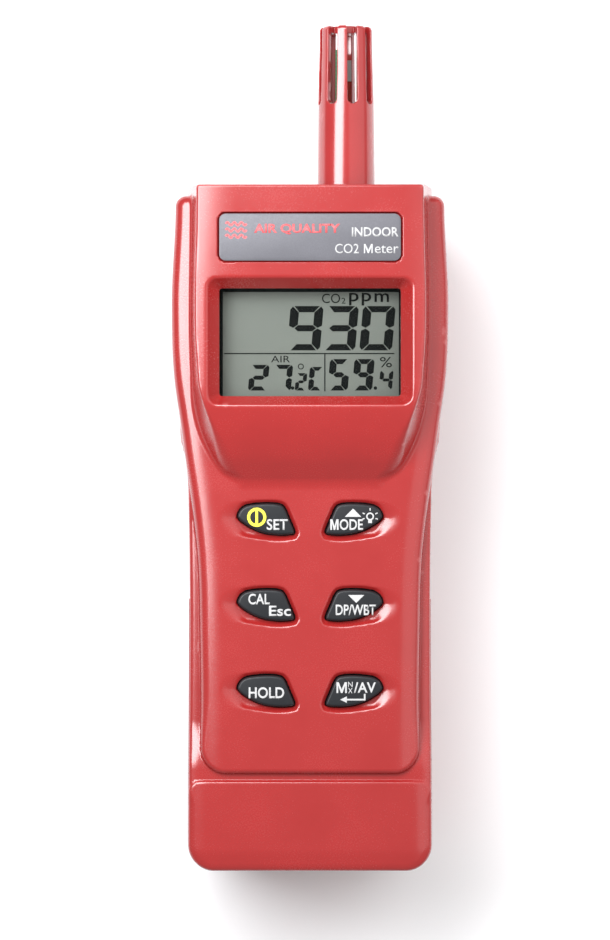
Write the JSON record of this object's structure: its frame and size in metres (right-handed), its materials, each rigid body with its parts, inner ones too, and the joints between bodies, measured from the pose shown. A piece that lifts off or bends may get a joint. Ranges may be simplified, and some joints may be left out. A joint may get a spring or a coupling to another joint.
{
  "type": "carbon dioxide monitor",
  "caption": "Handheld carbon dioxide meter with a slotted air probe, sloped display head, leaf-shaped rubber keys and a sliding battery door.",
  "frame": {"origin": "in the resting plane, under the middle of the body's width and of the whole length, the meter lying on its back", "axes": "+X to the right across the face, +Y along the meter towards the probe, +Z out of the face, up from the resting plane"},
  "size_m": [0.067, 0.205, 0.056],
  "materials": {
    "red_shell": "spark-textured moulded ABS, satin",
    "red_probe": "moulded ABS, semi-gloss",
    "key_rubber": "semi-gloss black silicone with light print",
    "mat_rubber": "dark grey silicone",
    "carbon_pill": "carbon-filled silicone",
    "nameplate": "satin grey, printed",
    "window": "clear acrylic",
    "lcd": "grey-green polariser film",
    "white_plastic": "diffusing white",
    "board": "green solder mask",
    "chip": "black moulded epoxy",
    "steel": "nickel-plated",
    "gold": "gold-flashed brass",
    "cell_jacket": "plain foil jacket",
    "label": "printed polyester film"
  },
  "bodies": {
    "housing": {"battery_cell_1": "cell_jacket", "battery_cell_2": "cell_jacket", "battery_cell_3": "cell_jacket", "battery_cell_4": "cell_jacket", "battery_spring_1": "steel", "battery_spring_2": "steel", "battery_spring_3": "steel", "battery_spring_4": "steel", "board_connector": "chip", "board_screw_1": "steel", "board_screw_2": "steel", "board_screw_3": "steel", "board_screw_4": "steel", "bridge_contact_left": "steel", "bridge_contact_right": "steel", "buzzer": "chip", "case_screw_1": "steel", "case_screw_2": "steel", "case_screw_3": "steel", "case_screw_4": "steel", "data_socket": "chip", "display_window": "window", "front_shell": "red_shell", "humidity_sensor": "white_plastic", "keypad_mat": "mat_rubber", "lcd_panel": "lcd", "light_guide": "white_plastic", "lower_contact_strip": "mat_rubber", "main_board": "board", "nameplate": "nameplate", "plus_contact_left": "steel", "plus_contact_right": "steel", "power_socket": "chip", "probe_board": "board", "probe_housing": "red_probe", "processor": "chip", "rear_label": "label", "rear_shell": "red_shell", "sensor_board": "board", "sensor_chamber": "gold", "sensor_membrane": "white_plastic", "temperature_sensor": "chip", "upper_contact_strip": "mat_rubber"},
    "door": {"battery_door": "red_shell"},
    "key_power": {"key_power": "key_rubber", "contact_power": "carbon_pill"},
    "key_mode": {"key_mode": "key_rubber", "contact_mode": "carbon_pill"},
    "key_cal": {"key_cal": "key_rubber", "contact_cal": "carbon_pill"},
    "key_down": {"key_down": "key_rubber", "contact_down": "carbon_pill"},
    "key_hold": {"key_hold": "key_rubber", "contact_hold": "carbon_pill"},
    "key_enter": {"key_enter": "key_rubber", "contact_enter": "carbon_pill"}
  },
  "joints": [
    {"name": "door_slide", "type": "slide", "parent": "housing", "child": "door", "axis": [0, -1, 0], "range_m": [0, 0.07]},
    {"name": "key_power_press", "type": "slide", "parent": "housing", "child": "key_power", "axis": [0, 0, -1], "range_m": [0, 0.001], "stiffness_N_per_m": 800, "springref_m": -0.0005},
    {"name": "key_mode_press", "type": "slide", "parent": "housing", "child": "key_mode", "axis": [0, 0, -1], "range_m": [0, 0.001], "stiffness_N_per_m": 800, "springref_m": -0.0005},
    {"name": "key_cal_press", "type": "slide", "parent": "housing", "child": "key_cal", "axis": [0, 0, -1], "range_m": [0, 0.001], "stiffness_N_per_m": 800, "springref_m": -0.0005},
    {"name": "key_down_press", "type": "slide", "parent": "housing", "child": "key_down", "axis": [0, 0, -1], "range_m": [0, 0.001], "stiffness_N_per_m": 800, "springref_m": -0.0005},
    {"name": "key_hold_press", "type": "slide", "parent": "housing", "child": "key_hold", "axis": [0, 0, -1], "range_m": [0, 0.001], "stiffness_N_per_m": 800, "springref_m": -0.0005},
    {"name": "key_enter_press", "type": "slide", "parent": "housing", "child": "key_enter", "axis": [0, 0, -1], "range_m": [0, 0.001], "stiffness_N_per_m": 800, "springref_m": -0.0005}
  ]
}
